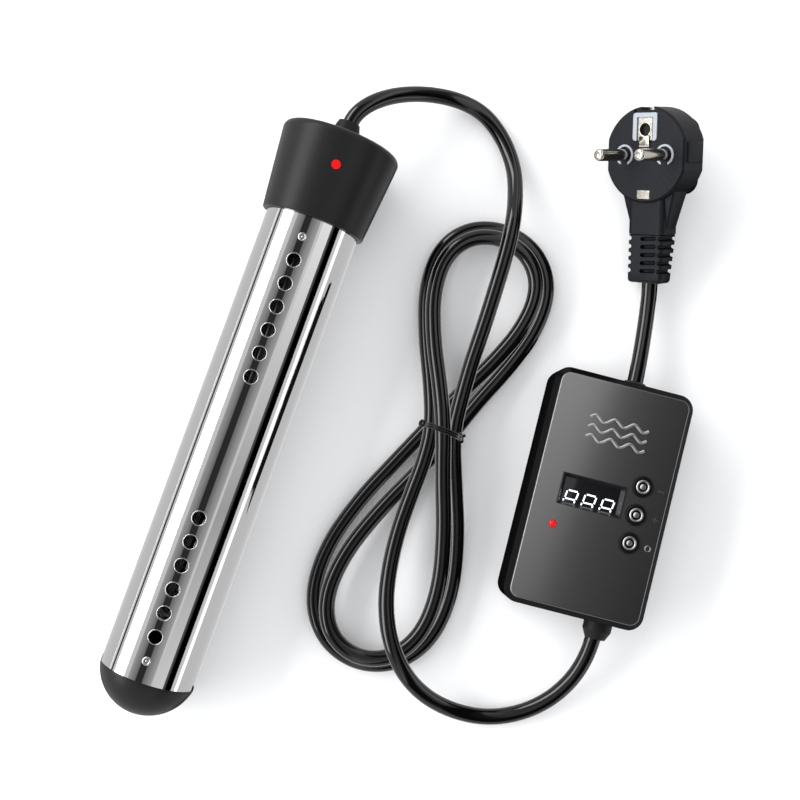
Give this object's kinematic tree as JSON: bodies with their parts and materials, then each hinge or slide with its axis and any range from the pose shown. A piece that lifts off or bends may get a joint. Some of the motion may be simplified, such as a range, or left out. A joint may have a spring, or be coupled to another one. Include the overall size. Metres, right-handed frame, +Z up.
{
  "type": "submersible aquarium heater",
  "caption": "Perforated steel tube water heater with moulded cap, in-line display controller with push buttons, tied lead and angled earthed plug.",
  "frame": {"origin": "on the surface everything lies on, under the middle of the heater and the control box taken together", "axes": "+Y along the heater towards its cap, +X from the heater to the control box, +Z up"},
  "size_m": [0.2011, 0.3009, 0.0485],
  "materials": {
    "guard_steel": "mirror-polished stainless steel",
    "dull_steel": "drawn stainless steel",
    "cap_plastic": "satin moulded black plastic",
    "black_rubber": "soft moulded rubber",
    "lead_sheath": "glossy black PVC",
    "tie_wire": "plastic-coated twist wire",
    "box_plastic": "glossy black moulded plastic",
    "face_plate": "satin grey plate",
    "bezel_plastic": "glossy dark plastic",
    "display_glass": "smoked display window",
    "display_segments": "lit white segments",
    "button_plastic": "black moulded button",
    "red_lamp": "lit red lens",
    "circuit_board": "solder-masked board",
    "component_plastic": "moulded electronic components",
    "brass_parts": "brass",
    "nickel_parts": "nickel-plated brass",
    "plug_plastic": "fine-grained dark blue-grey plastic",
    "pale_plastic": "light grey plastic",
    "ceramic": "glazed ceramic",
    "potting_resin": "cast resin",
    "wire_cover": "coloured wire covers"
  },
  "bodies": {
    "root": {"guard_tube": "guard_steel", "guard_rivets": "dull_steel", "end_cap": "cap_plastic", "heating_elements": "dull_steel", "element_insulators": "ceramic", "element_terminals": "brass_parts", "element_header": "black_rubber", "header_seal": "black_rubber", "sensor_probe": "dull_steel", "temperature_sensor": "component_plastic", "thermal_cutout": "component_plastic", "earth_tag": "brass_parts", "heater_wires": "wire_cover", "cap_lamp_board": "circuit_board", "cap_lamp_lens": "red_lamp", "cap_potting": "potting_resin", "top_cap": "cap_plastic", "cap_seal_ring": "black_rubber", "lead_gland": "black_rubber", "box_rear_cover": "box_plastic", "box_seal": "black_rubber", "box_front_cover": "box_plastic", "face_panel": "face_plate", "display_bezel": "bezel_plastic", "display_window": "display_glass", "display_module": "component_plastic", "display_digits": "display_segments", "tact_switches": "component_plastic", "indicator_lamp": "red_lamp", "main_board": "circuit_board", "display_board": "circuit_board", "board_connector": "component_plastic", "power_relay": "component_plastic", "supply_capacitors": "component_plastic", "terminal_blocks": "component_plastic", "mains_fuse": "ceramic", "fuse_clips": "nickel_parts", "board_screws": "dull_steel", "box_screws": "dull_steel", "lead_clamps": "component_plastic", "heater_lead_gland": "black_rubber", "mains_lead_gland": "black_rubber", "plug_body": "plug_plastic", "plug_pins": "nickel_parts", "pin_collars": "pale_plastic", "earth_insert": "pale_plastic", "earth_contacts": "nickel_parts", "plug_back_grip": "box_plastic", "plug_boot": "plug_plastic", "heater_lead": "lead_sheath", "box_lead": "lead_sheath", "plug_lead": "lead_sheath", "lead_hank": "lead_sheath", "lead_tie": "tie_wire"},
    "button_minus": {"button_minus": "button_plastic"},
    "button_plus": {"button_plus": "button_plastic"},
    "button_set": {"button_set": "button_plastic"}
  },
  "joints": [
    {"name": "press_minus", "type": "slide", "parent": "root", "child": "button_minus", "axis": [0, 0, -1], "range_m": [0, 0.0006], "stiffness_N_per_m": 450},
    {"name": "press_plus", "type": "slide", "parent": "root", "child": "button_plus", "axis": [0, 0, -1], "range_m": [0, 0.0006], "stiffness_N_per_m": 450},
    {"name": "press_set", "type": "slide", "parent": "root", "child": "button_set", "axis": [0, 0, -1], "range_m": [0, 0.0006], "stiffness_N_per_m": 450}
  ]
}
